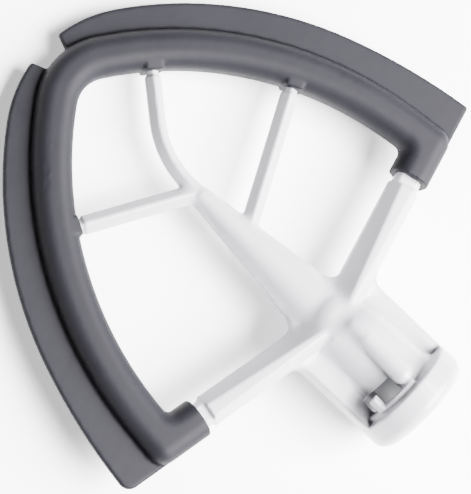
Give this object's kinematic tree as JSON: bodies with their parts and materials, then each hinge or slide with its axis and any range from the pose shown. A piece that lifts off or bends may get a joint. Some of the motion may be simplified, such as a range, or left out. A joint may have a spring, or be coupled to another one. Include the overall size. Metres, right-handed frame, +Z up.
{
  "type": "stand mixer flat beater",
  "caption": "White coated cast flat beater with a bored hub, tapered spine and slanting spokes, and a soft grey wiping edge moulded round its rim.",
  "frame": {"origin": "centre of the footprint, on the surface that the beater lies on", "axes": "+Y from the tip towards the hub's open end, +Z up through the front face, +X across to the side with the wide window"},
  "size_m": [0.1616, 0.158, 0.0357],
  "materials": {
    "white_coating": "gloss",
    "grey_silicone": "satin"
  },
  "bodies": {
    "root": {"beater_frame": "white_coating", "silicone_edge": "grey_silicone"}
  },
  "joints": []
}
